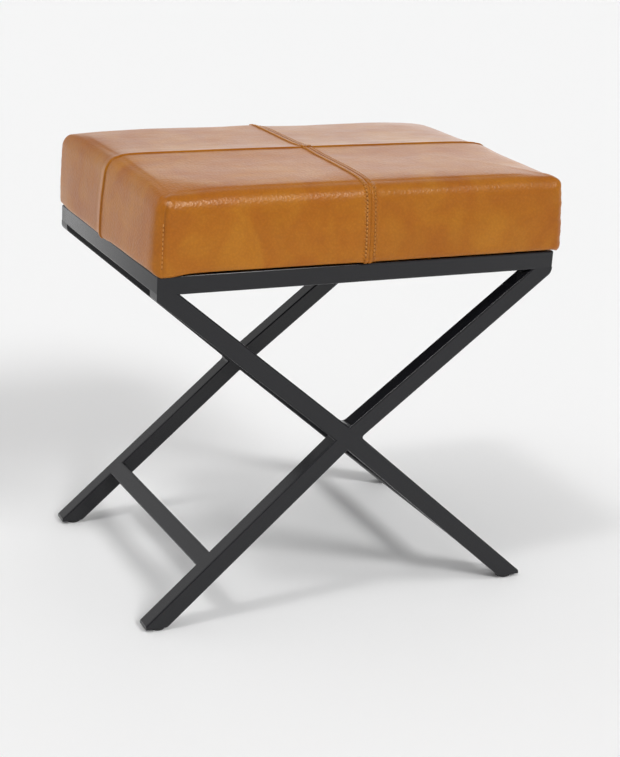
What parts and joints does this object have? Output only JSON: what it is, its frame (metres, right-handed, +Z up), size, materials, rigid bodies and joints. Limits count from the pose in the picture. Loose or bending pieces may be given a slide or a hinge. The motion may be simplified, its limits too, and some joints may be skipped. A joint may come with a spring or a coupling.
{
  "type": "x frame stool",
  "caption": "Low stool with a padded leather seat in four panels on a dark square-tube frame, its legs crossed in an X at the front and back, and levelling glides at the feet.",
  "frame": {"origin": "on the floor under the middle of the seat, with the glides fully screwed in", "axes": "+Z up, +X to the right along the long side, -Y out of the front face that the picture shows"},
  "size_m": [0.4688, 0.3218, 0.4798],
  "materials": {
    "powder_coated_steel": "satin",
    "zinc_plated_steel": "bright zinc",
    "black_nylon": "moulded",
    "tan_leather": "smooth semi-gloss",
    "birch_plywood": "sanded",
    "seat_foam": "open cell polyurethane foam",
    "black_non_woven_lining": "matt"
  },
  "bodies": {
    "frame_and_seat": {"front_rail": "powder_coated_steel", "back_rail": "powder_coated_steel", "left_rail": "powder_coated_steel", "right_rail": "powder_coated_steel", "front_upper_left_leg": "powder_coated_steel", "front_lower_left_leg": "powder_coated_steel", "front_lower_right_leg": "powder_coated_steel", "front_upper_right_leg": "powder_coated_steel", "back_upper_left_leg": "powder_coated_steel", "back_lower_left_leg": "powder_coated_steel", "back_lower_right_leg": "powder_coated_steel", "back_upper_right_leg": "powder_coated_steel", "left_stretcher": "powder_coated_steel", "right_stretcher": "powder_coated_steel", "front_left_tab": "powder_coated_steel", "front_right_tab": "powder_coated_steel", "back_left_tab": "powder_coated_steel", "back_right_tab": "powder_coated_steel", "front_left_seat_screw": "zinc_plated_steel", "front_left_seat_washer": "zinc_plated_steel", "front_left_board_insert": "zinc_plated_steel", "front_right_seat_screw": "zinc_plated_steel", "front_right_seat_washer": "zinc_plated_steel", "front_right_board_insert": "zinc_plated_steel", "back_left_seat_screw": "zinc_plated_steel", "back_left_seat_washer": "zinc_plated_steel", "back_left_board_insert": "zinc_plated_steel", "back_right_seat_screw": "zinc_plated_steel", "back_right_seat_washer": "zinc_plated_steel", "back_right_board_insert": "zinc_plated_steel", "front_left_leg_plug": "black_nylon", "front_right_leg_plug": "black_nylon", "back_left_leg_plug": "black_nylon", "back_right_leg_plug": "black_nylon", "seat_board": "birch_plywood", "dust_cover": "black_non_woven_lining", "front_left_leather_panel": "tan_leather", "front_right_leather_panel": "tan_leather", "back_left_leather_panel": "tan_leather", "back_right_leather_panel": "tan_leather", "foam_block": "seat_foam"},
    "front_left_pad": {"front_left_glide_pad": "black_nylon"},
    "front_left_stud": {"front_left_glide_stud": "zinc_plated_steel"},
    "front_right_pad": {"front_right_glide_pad": "black_nylon"},
    "front_right_stud": {"front_right_glide_stud": "zinc_plated_steel"},
    "back_left_pad": {"back_left_glide_pad": "black_nylon"},
    "back_left_stud": {"back_left_glide_stud": "zinc_plated_steel"},
    "back_right_pad": {"back_right_glide_pad": "black_nylon"},
    "back_right_stud": {"back_right_glide_stud": "zinc_plated_steel"}
  },
  "joints": [
    {"name": "front_left_level", "type": "slide", "parent": "frame_and_seat", "child": "front_left_pad", "axis": [0, 0, -1], "range_m": [0, 0.006]},
    {"name": "front_left_turn", "type": "hinge", "parent": "front_left_pad", "child": "front_left_stud", "pos_m": [-0.2145, -0.147, 0.0018], "axis": [0, 0, -1], "range_deg": [0, 2160]},
    {"name": "front_right_level", "type": "slide", "parent": "frame_and_seat", "child": "front_right_pad", "axis": [0, 0, -1], "range_m": [0, 0.006]},
    {"name": "front_right_turn", "type": "hinge", "parent": "front_right_pad", "child": "front_right_stud", "pos_m": [0.2145, -0.147, 0.0018], "axis": [0, 0, -1], "range_deg": [0, 2160]},
    {"name": "back_left_level", "type": "slide", "parent": "frame_and_seat", "child": "back_left_pad", "axis": [0, 0, -1], "range_m": [0, 0.006]},
    {"name": "back_left_turn", "type": "hinge", "parent": "back_left_pad", "child": "back_left_stud", "pos_m": [-0.2145, 0.147, 0.0018], "axis": [0, 0, -1], "range_deg": [0, 2160]},
    {"name": "back_right_level", "type": "slide", "parent": "frame_and_seat", "child": "back_right_pad", "axis": [0, 0, -1], "range_m": [0, 0.006]},
    {"name": "back_right_turn", "type": "hinge", "parent": "back_right_pad", "child": "back_right_stud", "pos_m": [0.2145, 0.147, 0.0018], "axis": [0, 0, -1], "range_deg": [0, 2160]}
  ],
  "couplings": [
    {"joint": "front_left_turn", "follows": "front_left_level", "rad_per_m": 6283.2},
    {"joint": "front_right_turn", "follows": "front_right_level", "rad_per_m": 6283.2},
    {"joint": "back_left_turn", "follows": "back_left_level", "rad_per_m": 6283.2},
    {"joint": "back_right_turn", "follows": "back_right_level", "rad_per_m": 6283.2}
  ]
}
